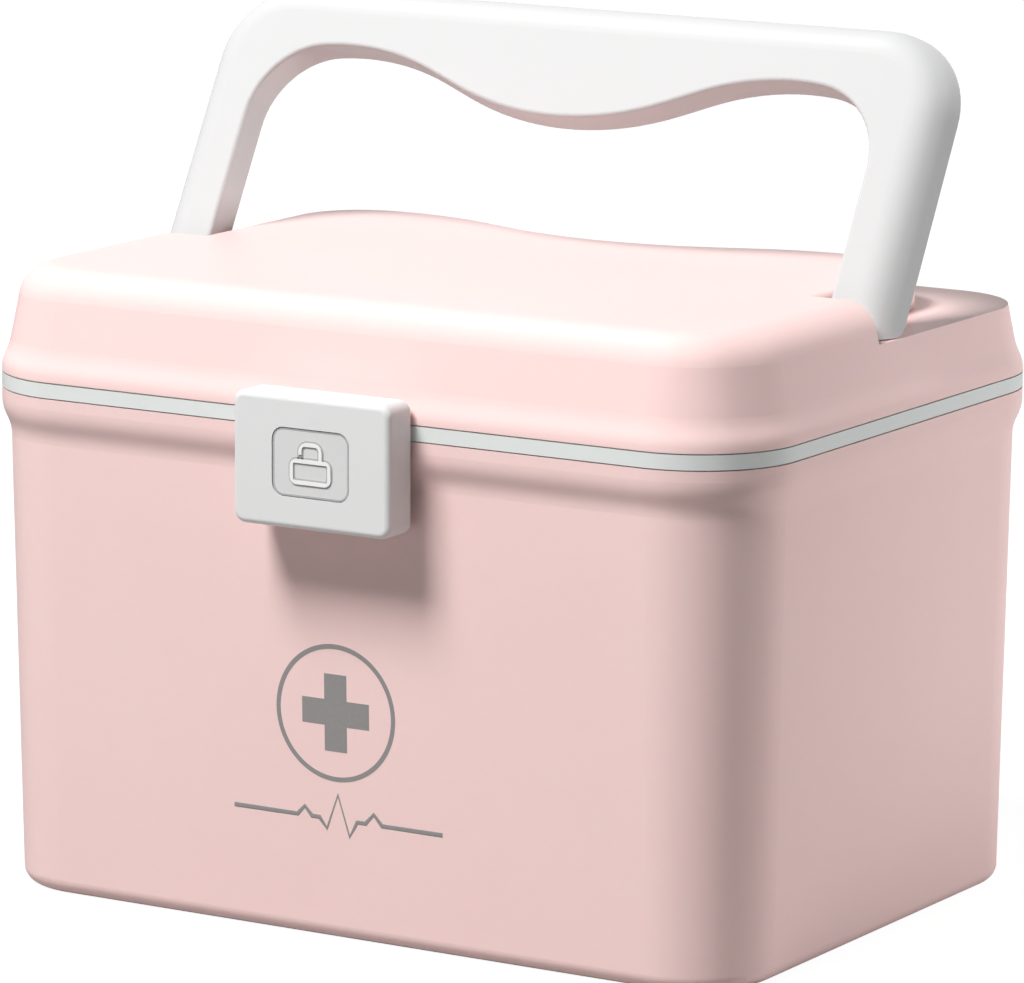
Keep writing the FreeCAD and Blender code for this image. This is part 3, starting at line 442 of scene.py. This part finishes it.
# The four corner squares of a square of nine are cut away, which leaves the plus.
plus = bmesh.new()
bmesh.ops.create_grid(plus, x_segments=3, y_segments=3, size=plus_size / 2)
corners = [f for f in plus.faces if f.calc_center_median().length > plus_size * 0.4]
bmesh.ops.delete(plus, geom=corners, context="FACES")
stand_up(plus, print_depth, (ring_middle[0], wall_y, ring_middle[1]), wall_lean)

pulse_curve = bpy.data.curves.new("pulse", "CURVE")
pulse_curve.dimensions = "3D"
pulse_curve.bevel_depth = print_line / 2
pulse_curve.bevel_resolution = 2
pulse_curve.use_fill_caps = True
spline = pulse_curve.splines.new("POLY")
spline.points.add(len(pulse_points) - 1)
for point, (x, rise) in zip(spline.points, pulse_points):
    point.co = (x, rise, 0, 1)
pulse_source = bpy.data.objects.new("pulse", pulse_curve)
pulse_mesh = bpy.data.meshes.new_from_object(pulse_source)
pulse = bmesh.new()
pulse.from_mesh(pulse_mesh)
bmesh.ops.scale(pulse, vec=(1, 1, print_depth / print_line * 2), verts=pulse.verts)
bmesh.ops.transform(pulse, matrix=onto_wall((0, wall_y, pulse_height), wall_lean), verts=pulse.verts)
bpy.data.objects.remove(pulse_source)
bpy.data.curves.remove(pulse_curve)
bpy.data.meshes.remove(pulse_mesh)
front_print = finish_piece("front_print", [ring, plus, pulse], screen_ink, "box")


# Tray and dividers. A shallow tray of natural white polypropylene that hangs on the tub's ledge,
# with three thin plates that drop between ribs and cross in half-lap slots.

tray_cloud_size = 0.050

# Polypropylene with no pigment is milky: light goes a little way in and softens the shadows.
natural_polypropylene, tree = start_material("natural_polypropylene")
place = add_node(tree, "ShaderNodeTexCoord")
cloud = add_node(tree, "ShaderNodeTexNoise", {"Scale": 1 / tray_cloud_size, "Detail": 2.0},
                 {"Vector": place.outputs["Object"]})
milks = add_node(tree, "ShaderNodeMix", {6: linear("#DDDFDE"), 7: linear("#E3E5E4")},
                 {0: cloud.outputs["Fac"]}, data_type="RGBA")
satin = add_node(tree, "ShaderNodeMapRange", {"To Min": 0.30, "To Max": 0.40},
                 {"Value": cloud.outputs["Fac"]})
surface = add_node(tree, "ShaderNodeBsdfPrincipled",
                   {"IOR": 1.49, "Subsurface Weight": 0.15, "Subsurface Scale": 0.003},
                   {"Base Color": milks.outputs[2], "Roughness": satin.outputs["Result"]})
add_node(tree, "ShaderNodeOutputMaterial", None, {"Surface": surface.outputs[0]})
coat(["tray_shell", "tray_divider_long", "tray_divider_left", "tray_divider_right"],
     natural_polypropylene)


# Pins and clips. Drawn steel wire, cut to length, and two ring clips stamped from spring steel.
# Drawing leaves fine lines round them, which run along the pins.

drawing_line_length = 0.050
drawing_line_width = 0.00025

# Bare steel wire keeps the dull shine of drawing, broken by lines 0.25 mm wide.
drawn_steel, tree = start_material("drawn_steel")
place = add_node(tree, "ShaderNodeTexCoord")
stretched = add_node(tree, "ShaderNodeMapping",
                     {"Scale": (1 / drawing_line_length, 1 / drawing_line_width, 1 / drawing_line_width)},
                     {"Vector": place.outputs["Object"]})
lines = add_node(tree, "ShaderNodeTexNoise", {"Scale": 1.0, "Detail": 2.0},
                 {"Vector": stretched.outputs["Vector"]})
shine = add_node(tree, "ShaderNodeMapRange", {"To Min": 0.25, "To Max": 0.42},
                 {"Value": lines.outputs["Fac"]})
surface = add_node(tree, "ShaderNodeBsdfPrincipled", {"Base Color": linear("#BFC1C3"), "Metallic": 1.0},
                   {"Roughness": shine.outputs["Result"]})
add_node(tree, "ShaderNodeOutputMaterial", None, {"Surface": surface.outputs[0]})
coat(["hinge_pin_left", "hinge_pin_right", "handle_pin_left", "handle_pin_right",
      "handle_clip_left", "handle_clip_right", "latch_pin"], drawn_steel)
